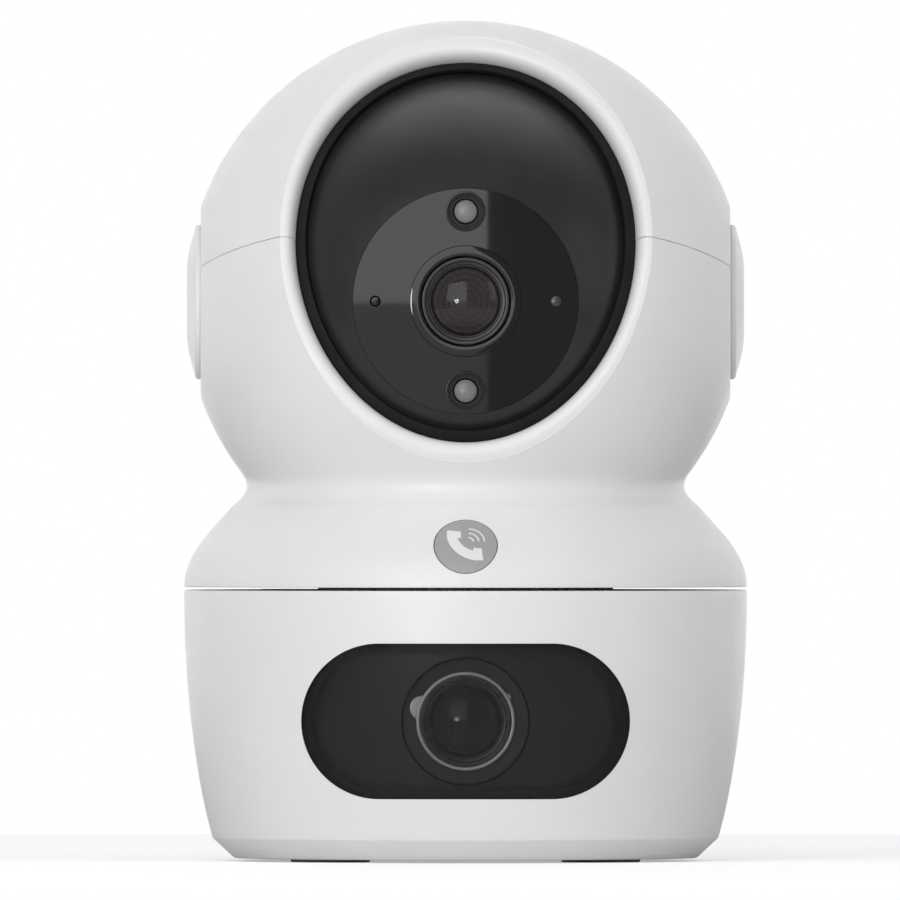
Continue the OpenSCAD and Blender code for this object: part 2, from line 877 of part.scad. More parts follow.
module ball_body() {
    difference() {
        union() {
            difference() {
                ball_solid(0);
                ball_solid(ball_wall);
            }
            at_tilt() mirrored_x() rod_x(trunnion_r, ball_side - 1, side_x - 2);
            at_tilt() intersection() {
                rod_y(disc_r + 1.6, -ball_r, light_board_y);
                sphere(ball_r - 0.5);
            }
            intersection() {
                column_places() rod_y(3, -20, ball_r);
                ball_solid(ball_wall / 2);
            }
            intersection() {
                at_tilt() mirrored_x() translate([camera_post_x, 0, 0]) rod_y(2.5, -ball_r, sensor_y);
                ball_solid(ball_wall / 2);
            }
        }
        at_tilt() mirrored_x() rod_x(trunnion_r - 2, ball_side - 4, side_x + 1);
        at_tilt() rod_y(disc_r + fit_gap, -ball_r - 1, ledge_y);
        at_tilt() rod_y(disc_r - 2.2, -ball_r, light_board_y + 1);
        light_places() rod_y(cup_r + 0.2, -ball_r, light_board_y + 1);
        column_places() rod_y(screw_r, -ball_split - 10, 0);
        column_places() rod_y(screw_head_r + 0.2, -4, ball_r);
        at_tilt() mirrored_x() translate([camera_post_x, 0, 0]) rod_y(screw_r, sensor_y - 6, sensor_y + 1);
        at_tilt() translate([0, tilt_centres, 0]) rod_x(3, ball_side - 4, ball_side + 1);
        at_slot() translate([card_x, 0, 0]) block([12, 1.6, 12], ball_r - 6);
        at_slot() translate([reset_x, 0, 0]) rod_z(reset_r + 0.15, ball_r - 6, ball_r + 1);
    }
}

module split_side(front) {
    y0 = front ? -100 : -ball_split;
    at_tilt() translate([-60, y0, -60]) cube([120, front ? 100 - ball_split : 100, 120]);
}

module ball_front() {
    color(gloss_black) intersection() {
        ball_body();
        split_side(true);
    }
}

module ball_rear() {
    color(gloss_black) intersection() {
        ball_body();
        split_side(false);
    }
}

module ball_screws() {
    color(steel) column_places() translate([0, -4, 0]) rotate([-90, 0, 0]) screw(11);
}

lens_ring_r = 9.2;
module face_disc() {
    color(smoke) at_tilt() difference() {
        rod_y(disc_r, disc_y, ledge_y);
        rod_y(lens_ring_r, disc_y - 1, ledge_y + 1);
        for (s = [-1, 1]) translate([0, 0, s * light_z]) rod_y(cup_r + 0.02, disc_y - 1, ledge_y + 1);
        translate([-dot_x, 0, 0]) rod_y(0.5, disc_y - 1, ledge_y + 1);
        translate([dot_x, 0, 0]) rod_y(0.92, disc_y - 1, ledge_y + 1);
    }
}

module lens_ring() {
    color(gloss_black) at_tilt() difference() {
        rod_y(lens_ring_r, disc_y - 0.3, light_board_y);
        rod_y(barrel_r + fit_gap, disc_y - 1, light_board_y + 1);
    }
}

barrel_y = disc_y - 0.1;
module lens_barrel() {
    color(gloss_black) at_tilt() difference() {
        rod_y(barrel_r, barrel_y, -24);
        rod_y(barrel_r - 1.6, barrel_y - 1, barrel_y + 2.4);
        rod_y(2.4, barrel_y, -23);
    }
}

module lens_glass() {
    color("lightsteelblue") at_tilt() rod_y(barrel_r - 1.65, barrel_y + 0.8, barrel_y + 2.4);
}

module lens_holder() {
    color(gloss_black) at_tilt() difference() {
        union() {
            rod_y(barrel_r + 1.4, light_board_y + 0.3, -21);
            translate([-10, sensor_y - 2, -10]) cube([20, 2, 20]);
        }
        rod_y(barrel_r, light_board_y - 1, -24);
        rod_y(4.5, -25, sensor_y + 1);
    }
}

module sensor_board() {
    color(pcb_green) at_tilt() difference() {
        translate([-25, sensor_y, -11]) cube([50, 1.2, 22]);
        mirrored_x() translate([camera_post_x, 0, 0]) rod_y(screw_r + 0.2, sensor_y - 2, sensor_y + 3);
    }
}

module tilt_motor_place() {
    at_tilt() translate([ball_side - ball_wall, tilt_centres, 0]) rotate([0, 90, 0]) children();
}

module inner_screws() {
    color(steel) {
        at_tilt() mirrored_x() translate([camera_post_x, sensor_y + 1.2, 0]) rotate([-90, 0, 0]) screw(5);
    }
}

module light_board() {
    color(pcb_green) at_tilt() difference() {
        rod_y(disc_r - 0.7, light_board_y, light_board_y + 1);
        rod_y(barrel_r + 2, light_board_y - 1, light_board_y + 2);
    }
}

module light_cups() {
    color("gray") light_places() difference() {
        rod_y(cup_r, disc_y + 0.1, light_board_y);
        translate([0, disc_y, 0]) rotate([-90, 0, 0]) {
            cylinder(r1 = cup_r - 0.2, r2 = 1.9, h = light_board_y - disc_y + 0.01);
        }
        rod_y(1.9, light_board_y - 1.2, light_board_y + 1);
    }
}

module spot_leds() {
    color("lemonchiffon") light_places() rod_y(1.8, light_board_y - 0.9, light_board_y);
}

module microphone() {
    color(steel) at_tilt() translate([-dot_x, 0, 0]) rod_y(1.3, ledge_y + 0.1, light_board_y);
}

module status_led() {
    color("rosybrown") at_tilt() translate([dot_x, 0, 0]) rod_y(0.9, disc_y, light_board_y);
}

module tilt_motor() {
    color(steel) tilt_motor_place() rotate([0, 0, 90]) motor_plain();
}

// The tilt motor is held by its nose in the side wall of the ball
module motor_plain() {
    difference() {
        union() {
            rod_z(motor_r, -motor_l, 0);
            rod_z(2.9, -0.5, ball_wall);
        }
        rod_z(1.5 + run_gap, -10, ball_wall + 1);
    }
}

module tilt_pinion() {
    color(acetal) at_tilt() translate([sun_x, tilt_centres, 0]) rotate([0, 90, 0]) {
        rotate([0, 0, 90 + pinion_phase]) pinion(pad_x - 0.6 - sun_x, sun_x - ball_side + ball_wall + 9);
    }
}

module card_board() {
    color(pcb_green) at_slot() {
        translate([-2.5, 2, 0]) block([25, 1, 13.4], card_in);
        translate([reset_x, 0, 0]) block([3, 3, 4], reset_switch_top - 4);
    }
}

module card_socket() {
    color(steel) at_slot() translate([card_x, 0, 0]) difference() {
        block([13, 3, 14.6], card_in + 1);
        block([11.2, 0.9, 14.6], card_in + 2);
    }
}

module reset_button() {
    color("gray") at_slot() translate([reset_x, 0, 0]) {
        rod_z(reset_r, reset_in, reset_out);
        rod_z(reset_r + 0.6, reset_flange - 0.9, reset_flange);
    }
}

base_shell();
base_cover();
rubber_feet();
tripod_insert();
cover_screws();
front_window();
window_gasket();
lens_frame();
fixed_lens_bezel();
fixed_lens_barrel();
fixed_lens_glass();
fixed_lens_holder();
fixed_sensor_board();
main_board();
board_screws();
power_socket();
antenna();
speaker_frame();
speaker_cone();
pan_motor();
deck_screws();
pan_spindle();
thrust_washer();
spindle_clip();
pan_pinion();
head_lower_shell();
head_upper_shell();
turntable();
pan_gear();
turntable_screws();
side_cap_left();
side_cap_right();
tilt_bush_left();
tilt_sun_gear();
bush_screws();
call_button();
call_switch_board();
ball_front();
ball_rear();
ball_screws();
face_disc();
lens_ring();
lens_barrel();
lens_glass();
lens_holder();
sensor_board();
inner_screws();
light_board();
light_cups();
spot_leds();
microphone();
status_led();
tilt_motor();
tilt_pinion();
card_board();
card_socket();
reset_button();
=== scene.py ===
import json
import math
import bpy
import bmesh
from mathutils import Matrix, Vector


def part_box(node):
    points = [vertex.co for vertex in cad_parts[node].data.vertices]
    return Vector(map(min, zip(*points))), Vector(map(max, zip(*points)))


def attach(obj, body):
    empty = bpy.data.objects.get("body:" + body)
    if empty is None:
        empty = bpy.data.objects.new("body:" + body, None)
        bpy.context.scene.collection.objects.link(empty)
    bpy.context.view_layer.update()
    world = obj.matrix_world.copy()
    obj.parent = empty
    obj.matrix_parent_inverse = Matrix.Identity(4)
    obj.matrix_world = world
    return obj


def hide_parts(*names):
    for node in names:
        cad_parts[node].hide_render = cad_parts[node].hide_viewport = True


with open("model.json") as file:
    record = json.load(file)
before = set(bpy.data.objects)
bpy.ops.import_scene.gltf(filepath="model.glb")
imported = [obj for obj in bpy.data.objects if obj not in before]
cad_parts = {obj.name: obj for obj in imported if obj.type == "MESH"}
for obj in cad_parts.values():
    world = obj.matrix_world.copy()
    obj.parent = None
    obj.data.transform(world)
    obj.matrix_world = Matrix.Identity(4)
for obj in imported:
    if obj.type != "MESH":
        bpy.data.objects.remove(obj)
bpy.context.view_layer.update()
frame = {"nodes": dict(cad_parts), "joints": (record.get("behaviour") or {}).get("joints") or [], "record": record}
print("frame loaded,", len(frame["nodes"]), "nodes")

mm = 0.001  # every piece is modelled in millimetres and scaled at the end
fullTurn = 2 * math.pi
joints = {joint["name"]: joint for joint in frame["joints"]}
tiltZ = joints["tilt"]["pos_m"][2] / mm


def low(node):
    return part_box(node)[0] / mm


def high(node):
    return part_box(node)[1] / mm


# camera and studio

studio = {
    "distance": 6.0, "sensor": 36.0, "frameWidth": 150.3, "aimX": -2.59, "aimZ": 68.6,
    "floorRadius": 0.42, "floorTone": 0.86, "floorGlow": 0.42,
    "shineFront": 0.22, "shineBehind": 1.5, "softFront": 0.67, "softBehind": 0.08,
}


def buildCamera():
    camera = bpy.data.cameras.new("studioCamera")
    camera.sensor_width = studio["sensor"]
    camera.lens = studio["sensor"] * studio["distance"] / (studio["frameWidth"] * mm)
    holder = bpy.data.objects.new("studioCamera", camera)
    holder.location = (studio["aimX"] * mm, -studio["distance"], studio["aimZ"] * mm)
    holder.rotation_euler = (math.radians(90), 0, 0)
    bpy.context.scene.collection.objects.link(holder)
    bpy.context.scene.camera = holder


def buildWorld():
    world = bpy.data.worlds.new("studioWorld")
    bpy.context.scene.world = world
    world.use_nodes = True
    nodes, links = world.node_tree.nodes, world.node_tree.links
    surface = nodes["Background"]
    surface.inputs["Color"].default_value = (1, 1, 1, 1)
    path = nodes.new("ShaderNodeLightPath")
    place = nodes.new("ShaderNodeTexCoord")
    parts = nodes.new("ShaderNodeSeparateXYZ")
    links.new(place.outputs["Generated"], parts.inputs[0])

    def fade(start, end, levels):  # a level that changes from the front of the studio to its back
        ramp = nodes.new("ShaderNodeMapRange")
        ramp.inputs["From Min"].default_value = start
        ramp.inputs["From Max"].default_value = end
        ramp.inputs["To Min"].default_value, ramp.inputs["To Max"].default_value = levels
        links.new(parts.outputs["Y"], ramp.inputs["Value"])
        return ramp.outputs["Result"]

    inSoft = fade(-0.3, 0.3, (studio["softFront"], studio["softBehind"]))
    shiny = nodes.new("ShaderNodeMath")
    shiny.operation = "MAXIMUM"
    links.new(path.outputs["Is Glossy Ray"], shiny.inputs[0])
    links.new(path.outputs["Is Transmission Ray"], shiny.inputs[1])
    inShine = nodes.new("ShaderNodeMix")
    links.new(shiny.outputs[0], inShine.inputs["Factor"])
    links.new(inSoft, inShine.inputs["A"])
    links.new(fade(-0.1, 0.5, (studio["shineFront"], studio["shineBehind"])), inShine.inputs["B"])
    seen = nodes.new("ShaderNodeMix")
    seen.inputs["B"].default_value = 1.0
    links.new(path.outputs["Is Camera Ray"], seen.inputs["Factor"])
    links.new(inShine.outputs["Result"], seen.inputs["A"])
    links.new(seen.outputs["Result"], surface.inputs["Strength"])


# each lamp: size, place of its middle, what it faces, brightness of its face
lamps = {
    "keySoftbox": {"size": (0.85, 0.85), "place": (-0.385, -1.0, 0.518),
        "aim": (-0.385, 0.0, 0.518), "level": 1.85},
    "topSoftbox": {"size": (1.0, 0.9), "place": (0.0, 0.30, 1.09), "aim": (0.0, 0.30, 0.0), "level": 0.6},
    "rightCard": {"size": (0.25, 0.7), "place": (0.95, -0.55, 0.45), "aim": (0.0, 0.0, 0.10), "level": 0.9},
    "lowCard": {"size": (0.64, 0.28), "place": (-0.28, -1.0, -0.05),
        "aim": (-0.28, 0.0, -0.05), "level": 0.55},
    "sparkLamp": {"size": (0.16, 0.16), "place": (-0.315, -0.97, 0.097),
        "aim": (0.0, 0.0, 0.08), "level": 15.0},
}


def buildLamps():
    for name, look in lamps.items():
        lamp = bpy.data.lights.new(name, "AREA")
        lamp.shape = "DISK" if name == "sparkLamp" else "RECTANGLE"
        lamp.size, lamp.size_y = look["size"]
        lamp.energy = look["level"] * math.pi * look["size"][0] * look["size"][1]
        holder = bpy.data.objects.new(name, lamp)
        place, aim = Vector(look["place"]), Vector(look["aim"])
        holder.rotation_euler = (aim - place).to_track_quat("-Z", "Y").to_euler()
        holder.location = place
        holder.visible_camera = False
        bpy.context.scene.collection.objects.link(holder)


def buildFloor():
    material = bpy.data.materials.new("paleFloor")
    material.use_nodes = True
    nodes, links = material.node_tree.nodes, material.node_tree.links
    shader = nodes["Principled BSDF"]
    tone = studio["floorTone"]
    shader.inputs["Base Color"].default_value = (tone, tone, tone, 1)
    shader.inputs["Roughness"].default_value = 0.9
    shader.inputs["Emission Color"].default_value = (1, 1, 1, 1)
    path = nodes.new("ShaderNodeLightPath")
    glow = nodes.new("ShaderNodeMath")
    glow.operation = "MULTIPLY"
    glow.inputs[1].default_value = studio["floorGlow"]
    links.new(path.outputs["Is Camera Ray"], glow.inputs[0])
    links.new(glow.outputs[0], shader.inputs["Emission Strength"])
    bm = bmesh.new()
    bmesh.ops.create_circle(bm, cap_ends=True, radius=studio["floorRadius"], segments=96)
    mesh = bpy.data.meshes.new("studioFloor")
    bm.to_mesh(mesh)
    bm.free()
    mesh.materials.append(material)
    floor = bpy.data.objects.new("studioFloor", mesh)
    bpy.context.scene.collection.objects.link(floor)


bpy.context.scene.view_settings.view_transform = "Standard"
buildCamera()
buildWorld()
buildLamps()
buildFloor()
print("camera and studio ready")


# finishes, one for each material slot of the record

finishLooks = {
    "whiteShell": {"tone": (0.80, 0.80, 0.795), "spread": 0.012, "rough": (0.33, 0.42),
        "grain": 2600, "bump": 0.05},
    "blackGloss": {"tone": (0.018, 0.018, 0.019), "spread": 0.15, "rough": (0.34, 0.40),
        "grain": 1400, "bump": 0.01},
    "discGloss": {"tone": (0.009, 0.009, 0.010), "spread": 0.10, "rough": (0.035, 0.06),
        "grain": 900, "bump": 0.004},
    "blackMatte": {"tone": (0.016, 0.016, 0.017), "spread": 0.20, "rough": (0.38, 0.52),
        "grain": 3000, "bump": 0.10},
    # near-black dead matte for the ring inside the head opening: painted shade for the shadowed gap between shell
    # and ball
    "rimBlack": {"tone": (0.004, 0.004, 0.004), "spread": 0.20, "rough": (0.75, 0.9),
        "grain": 3500, "bump": 0.15},
    "smokedWindow": {"tone": (0.010, 0.010, 0.011), "spread": 0.10, "rough": (0.05, 0.08),
        "grain": 700, "bump": 0.004,
                     "alpha": 0.24, "ior": 1.55},
    "lensGlass": {"tone": (0.022, 0.012, 0.020), "spread": 0.10, "rough": (0.01, 0.02),
        "grain": 500, "bump": 0.0,
                  "alpha": 0.42, "ior": 1.6},
    "greyPlastic": {"tone": (0.36, 0.36, 0.36), "spread": 0.03, "rough": (0.36, 0.46),
        "grain": 2600, "bump": 0.06},
    "markInk": {"tone": (0.78, 0.78, 0.775), "spread": 0.02, "rough": (0.40, 0.50),
        "grain": 3000, "bump": 0.04},
    "cupGrey": {"tone": (0.022, 0.022, 0.023), "spread": 0.15, "rough": (0.22, 0.32),
        "grain": 2000, "bump": 0.04},
    "silverRing": {"tone": (0.42, 0.42, 0.43), "spread": 0.05, "rough": (0.30, 0.40),
        "grain": 2400, "bump": 0.05,
                   "metallic": 0.6},
    "rubber": {"tone": (0.30, 0.30, 0.30), "spread": 0.12, "rough": (0.70, 0.85),
        "grain": 3200, "bump": 0.25},
    "gasket": {"tone": (0.012, 0.012, 0.012), "spread": 0.20, "rough": (0.75, 0.9),
        "grain": 3500, "bump": 0.25},
    "brass": {"tone": (0.62, 0.44, 0.18), "spread": 0.08, "rough": (0.24, 0.36),
        "grain": 1800, "bump": 0.06,
              "metallic": 1.0},
    "steel": {"tone": (0.56, 0.57, 0.58), "spread": 0.06, "rough": (0.24, 0.38),
        "grain": 2200, "bump": 0.06,
              "metallic": 1.0},
    "circuitBoard": {"tone": (0.02, 0.13, 0.06), "spread": 0.25, "rough": (0.34, 0.50),
        "grain": 900, "bump": 0.10},
    "acetal": {"tone": (0.72, 0.70, 0.63), "spread": 0.03, "rough": (0.34, 0.46),
        "grain": 1600, "bump": 0.06},
    "conePaper": {"tone": (0.03, 0.03, 0.032), "spread": 0.30, "rough": (0.80, 0.95),
        "grain": 2600, "bump": 0.40},
    "ledPhosphor": {"tone": (0.21, 0.21, 0.20), "spread": 0.05, "rough": (0.28, 0.38),
        "grain": 2400, "bump": 0.05},
    "statusWindow": {"tone": (0.050, 0.034, 0.036), "spread": 0.10, "rough": (0.20, 0.30),
        "grain": 2400, "bump": 0.03},
}


def buildFinish(name, look):
    material = bpy.data.materials.new(name)
    material.use_nodes = True
    nodes, links = material.node_tree.nodes, material.node_tree.links
    shader = nodes["Principled BSDF"]
    place = nodes.new("ShaderNodeTexCoord")

    def noise(scale, detail):
        texture = nodes.new("ShaderNodeTexNoise")
        texture.inputs["Scale"].default_value = scale
        texture.inputs["Detail"].default_value = detail
        links.new(place.outputs["Object"], texture.inputs["Vector"])
        return texture

    mottle = noise(70, 4)
    tint = nodes.new("ShaderNodeValToRGB")
    lifts = (1 - look["spread"], 1 + look["spread"])
    for stop, lift, at in zip(tint.color_ramp.elements, lifts, (0.35, 0.65)):
        stop.position = at
        stop.color = [min(1, part * lift) for part in look["tone"]] + [1]
    links.new(mottle.outputs["Fac"], tint.inputs["Fac"])
    links.new(tint.outputs["Color"], shader.inputs["Base Color"])
    smudge = noise(220, 3)
    sheen = nodes.new("ShaderNodeMapRange")
    sheen.inputs["From Min"].default_value = 0.3
    sheen.inputs["From Max"].default_value = 0.7
    sheen.inputs["To Min"].default_value, sheen.inputs["To Max"].default_value = look["rough"]
    links.new(smudge.outputs["Fac"], sheen.inputs["Value"])
    links.new(sheen.outputs["Result"], shader.inputs["Roughness"])
    if look["bump"]:
        grain = noise(look["grain"], 2)
        bump = nodes.new("ShaderNodeBump")
        bump.inputs["Strength"].default_value = look["bump"]
        bump.inputs["Distance"].default_value = 0.0001
        links.new(grain.outputs["Fac"], bump.inputs["Height"])
        links.new(bump.outputs["Normal"], shader.inputs["Normal"])
    shader.inputs["Metallic"].default_value = look.get("metallic", 0)
    shader.inputs["IOR"].default_value = look.get("ior", 1.5)
    shader.inputs["Alpha"].default_value = look.get("alpha", 1)
    shader.inputs["Transmission Weight"].default_value = look.get("transmission", 0)
    return material


finishes = {name: buildFinish(name, look) for name, look in finishLooks.items()}


def finishOf(slotName):
    words = slotName.split("_")
    return finishes[words[0] + "".join(word.title() for word in words[1:])]


for part in frame["record"]["subparts"]:
    cadMesh = frame["nodes"][part["node"]].data
    cadMesh.materials.clear()
    cadMesh.materials.append(finishOf(part["material_slot"]))
print("finishes ready,", len(finishes))


# modelling helpers

def atFront(z):  # local up stays up, local +Z comes out of the front
    return Matrix.Translation((0, 0, z)) @ Matrix.Rotation(math.radians(90), 4, "X")


def curveRow(a, b, c, d, steps):
    row = []
    for i in range(steps + 1):
        t = i / steps
        weights = ((1 - t) ** 3, 3 * t * (1 - t) ** 2, 3 * t * t * (1 - t), t ** 3)
        row.append(tuple(sum(w * p[k] for w, p in zip(weights, (a, b, c, d))) for k in (0, 1)))
    return row


def arcRow(radius, middle, start, end, steps):
    row = []
    for i in range(steps + 1):
        turn = math.radians(start + (end - start) * i / steps)
        row.append((middle[0] + radius * math.cos(turn), middle[1] + radius * math.sin(turn)))
    return row


def inset(row, depth):  # moves an outline towards the axis, where it rises away from the floor
    moved = []
    for i, (r, z) in enumerate(row):
        before, after = row[max(i - 1, 0)], row[min(i + 1, len(row) - 1)]
        along = Vector((after[0] - before[0], after[1] - before[1])).normalized()
        moved.append((r - along.y * depth, z + along.x * depth))
    return moved


tiny = 0.001
nearStraight = math.radians(155)


def softened(row, radius, steps=3):  # rounds the corners of a closed outline
    soft = []
    for i, point in enumerate(row):
        corner = Vector(point)
        back, on = Vector(row[i - 1]) - corner, Vector(row[(i + 1) % len(row)]) - corner
        onAxis = corner.x < tiny or min(back.length, on.length) < tiny
        if onAxis or back.angle(on) > nearStraight:
            soft.append(tuple(corner))
            continue
        reach = min(radius, back.length * 0.45, on.length * 0.45)
        start, end = corner + back.normalized() * reach, corner + on.normalized() * reach
        for k in range(steps + 1):
            t = k / steps
            soft.append(tuple(start * (1 - t) ** 2 + corner * 2 * t * (1 - t) + end * t * t))
    return soft


def outward(bm):
    bmesh.ops.remove_doubles(bm, verts=bm.verts, dist=0.0005)
    bmesh.ops.recalc_face_normals(bm, faces=bm.faces)
    if bm.calc_volume(signed=True) < 0:
        bmesh.ops.reverse_faces(bm, faces=bm.faces)
    return bm


def lathe(row, steps=128, closed=True, turn=fullTurn):
    bm = bmesh.new()
    verts = [bm.verts.new((r, 0, z)) for r, z in row]
    for a, b in zip(verts, verts[1:] + verts[:1]):
        if closed or b is not verts[0]:
            bm.edges.new((a, b))
    whole = turn == fullTurn
    if not whole:
        bmesh.ops.contextual_create(bm, geom=bm.edges[:])
    bmesh.ops.spin(bm, geom=bm.verts[:] + bm.edges[:] + bm.faces[:], cent=(0, 0, 0), axis=(0, 0, 1),
                   angle=turn, steps=steps, use_merge=whole)
    return outward(bm)


def frontSector(row, degrees, steps=96):  # part of a lathe outline, with its middle at the front
    sector = lathe(row, steps, turn=math.radians(degrees))
    return placed(sector, Matrix.Rotation(math.radians(-90 - degrees / 2), 4, "Z"))


def block(size, middle, soft=0.0):
    bm = bmesh.new()
    bmesh.ops.create_cube(bm, size=1)
    bmesh.ops.scale(bm, verts=bm.verts, vec=size)
    if soft:
        bmesh.ops.bevel(bm, geom=bm.edges[:], offset=soft, segments=3, affect="EDGES",
                        profile=0.5, material=-1)
    bmesh.ops.translate(bm, verts=bm.verts, vec=middle)
    return bm


def rod(radius, bottom, top, steps=64):
    return lathe([(0, bottom), (radius, bottom), (radius, top), (0, top)], steps, closed=False)


def stadium(halfWidth, halfHeight, bottom, top, steps=96):  # round-ended prism along local Z
    bm = bmesh.new()
    bmesh.ops.create_circle(bm, cap_ends=True, radius=halfHeight, segments=steps)
    bmesh.ops.rotate(bm, verts=bm.verts, cent=(0, 0, 0), matrix=Matrix.Rotation(math.pi / steps, 3, "Z"))
    for vert in bm.verts:
        vert.co.x += math.copysign(halfWidth - halfHeight, vert.co.x)
    bmesh.ops.translate(bm, verts=bm.verts, vec=(0, 0, bottom))
    raised = bmesh.ops.extrude_face_region(bm, geom=bm.faces[:], use_keep_orig=True)["geom"]
    lid = [part for part in raised if isinstance(part, bmesh.types.BMVert)]
    bmesh.ops.translate(bm, verts=lid, vec=(0, 0, top - bottom))
    return outward(bm)


def placed(bm, matrix):
    bmesh.ops.transform(bm, matrix=matrix, verts=bm.verts)
    return bm


def joined(parts):
    whole = bmesh.new()
    for part in parts:
        mesh = bpy.data.meshes.new("part")
        part.to_mesh(mesh)
        part.free()
        whole.from_mesh(mesh)
        bpy.data.meshes.remove(mesh)
    return whole


def asObject(bm, name):
    mesh = bpy.data.meshes.new(name)
    bm.to_mesh(mesh)
    bm.free()
    made = bpy.data.objects.new(name, mesh)
    bpy.context.scene.collection.objects.link(made)
    return made


def carve(bm, tools, operation="DIFFERENCE"):
    work = asObject(bm, "work")
    cutters = [asObject(tool, "cutter") for tool in tools]
    for cutter in cutters:
        step = work.modifiers.new("carve", "BOOLEAN")
        step.operation = operation
        step.solver = "EXACT"
        step.object = cutter
    result = bmesh.new()
    result.from_object(work, bpy.context.evaluated_depsgraph_get())
    for spent in [work] + cutters:
        mesh = spent.data
        bpy.data.objects.remove(spent)
        bpy.data.meshes.remove(mesh)
    bmesh.ops.remove_doubles(result, verts=result.verts, dist=0.002)
    return result


def finishPiece(bm, name, body, slotName, nodes=(), sharp=32, finish=None):
    bm.transform(Matrix.Scale(mm, 4))
    for face in bm.faces:
        face.smooth = True
    piece = asObject(bm, name)
    piece.data.set_sharp_from_angle(angle=math.radians(sharp))
    piece.data.materials.clear()
    piece.data.materials.append(finishes[finish] if finish else finishOf(slotName))
    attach(piece, body)
    if nodes:
        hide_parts(*nodes)
    return piece


def polishNode(node, name, body, slotName, bevel=0.0):  # a merged, smoothed copy of a plain piece
    bm = bmesh.new()
    bm.from_mesh(frame["nodes"][node].data)
    bmesh.ops.remove_doubles(bm, verts=bm.verts, dist=0.000002)
    bmesh.ops.dissolve_limit(bm, angle_limit=math.radians(0.4), verts=bm.verts, edges=bm.edges)
    bm.transform(Matrix.Scale(1 / mm, 4))
    piece = finishPiece(bm, name, body, slotName, [node])
    if bevel:
        edge = piece.modifiers.new("edge", "BEVEL")
        edge.width = bevel * mm
        edge.segments = 2
        edge.limit_method = "ANGLE"
        edge.angle_limit = math.radians(50)
        edge.harden_normals = True
    return piece


# base

base = {
    "underR": 38.6, "chamferR": 42.2, "chamferH": 3.34, "wall": 2.6, "coverR": 36.6, "floorT": 2.2,
    "lipR": 43.2, "lipH": 2.0, "wireR": 6.0, "deckT": 2.4, "edge": 0.35, "steps": 256,
    "recess": (12.6, 7.0), "recessWall": 1.2, "recessIn": 39.5,
    "speakerOut": 41.2, "speakerZ": 23.5, "holeR": 0.9, "holePitch": 3.0, "pinionHole": 3.5,
}
baseTop = high("base_shell").z
bodyR = high("base_shell").x
underZ = low("base_shell").z
windowZ = (low("front_window").z + high("front_window").z) / 2
windowHalf = (high("front_window").x, high("front_window").z - windowZ)
deckTop = low("pan_spindle").z
socketZ = (low("power_socket").z + high("power_socket").z) / 2


def wallRow(steps=40):
    foot = underZ + base["chamferH"]
    rise, bulge = baseTop - foot, bodyR - base["chamferR"]
    return curveRow((base["chamferR"], foot), (base["chamferR"] + 0.354 * bulge, foot + 0.137 * rise),
                    (bodyR, foot + 0.487 * rise), (bodyR, baseTop), steps)


def grilleHoles():
    holes = [rod(base["holeR"] - 0.1, -5, 8, 20)]
    for ring in (1, 2, 3):
        for k in range(6 * ring):
            turn = k * fullTurn / (6 * ring)
            spot = (base["holePitch"] * ring * math.sin(turn), base["holePitch"] * ring * math.cos(turn), 0)
            holes.append(placed(rod(base["holeR"], -5, 8, 20), Matrix.Translation(spot)))
    out = Matrix.Rotation(math.radians(135), 4, "Z") @ atFront(base["speakerZ"])
    return placed(joined(holes), out @ Matrix.Translation((0, 0, base["speakerOut"])))


def buildBaseShell():
    outer = wallRow()
    floorTop, lipLow = underZ + base["floorT"], baseTop - base["lipH"]
    inner = [p for p in inset(outer, base["wall"]) if floorTop < p[1] < lipLow]
    deckLow = deckTop - base["deckT"]
    above = [p for p in inner if p[1] > deckTop + 0.2]
    below = [p for p in inner if p[1] < deckLow - 0.2]
    row = [(base["coverR"], underZ), (base["underR"], underZ)] + outer
    row += [(base["lipR"], baseTop), (base["lipR"], lipLow), (above[-1][0], lipLow)]
    row += above[::-1] + [(above[0][0], deckTop)]
    row += [(base["wireR"], deckTop), (base["wireR"], deckLow), (below[-1][0], deckLow)] + below[::-1]
    row += [(below[0][0], floorTop), (base["coverR"], floorTop)]
    shell = lathe(softened(row, base["edge"]), base["steps"])
    width, height = base["recess"]
    thick = 2 * base["recessWall"]
    reach = bodyR - 1.4 - base["recessIn"]
    tunnel = block((width + thick, reach, height + thick), (0, base["recessIn"] + reach / 2, socketZ))
    shell = carve(shell, [tunnel], "UNION")
    hollow = stadium(width / 2, height / 2, base["recessIn"] - 3, bodyR + 2)
    placed(hollow, Matrix.Rotation(math.pi, 4, "Z") @ atFront(socketZ))
    opening = placed(stadium(windowHalf[0] + 0.1, windowHalf[1] + 0.1, 30, bodyR + 2), atFront(windowZ))
    pinionX = joints["pan_pinion_spin"]["pos_m"][0] / mm
    drive = placed(rod(base["pinionHole"], deckLow - 1, deckTop + 1), Matrix.Translation((pinionX, 0, 0)))
    shell = carve(shell, [joined([hollow, opening, drive, grilleHoles()])])
    finishPiece(shell, "baseShell", "base", "white_shell", ["base_shell"])


def buildWindow():
    rows = [p for p in wallRow(64) if abs(p[1] - windowZ) < windowHalf[1] + 2]
    layer = frontSector(inset(rows, 0.03) + inset(rows, 1.4)[::-1], 90)
    pane = carve(layer, [placed(stadium(*windowHalf, 30, bodyR + 2), atFront(windowZ))], "INTERSECT")
    finishPiece(pane, "frontWindow", "base", "smoked_window", ["front_window"])


feet = {"sunk": 0.35, "dish": 3.9, "lip": 4.3, "outer": 6.6, "round": 0.3, "top": 1.2}
insert = {"crest": 2.55, "root": 2.8, "pitch": 0.65, "depth": 5, "outer": 4}


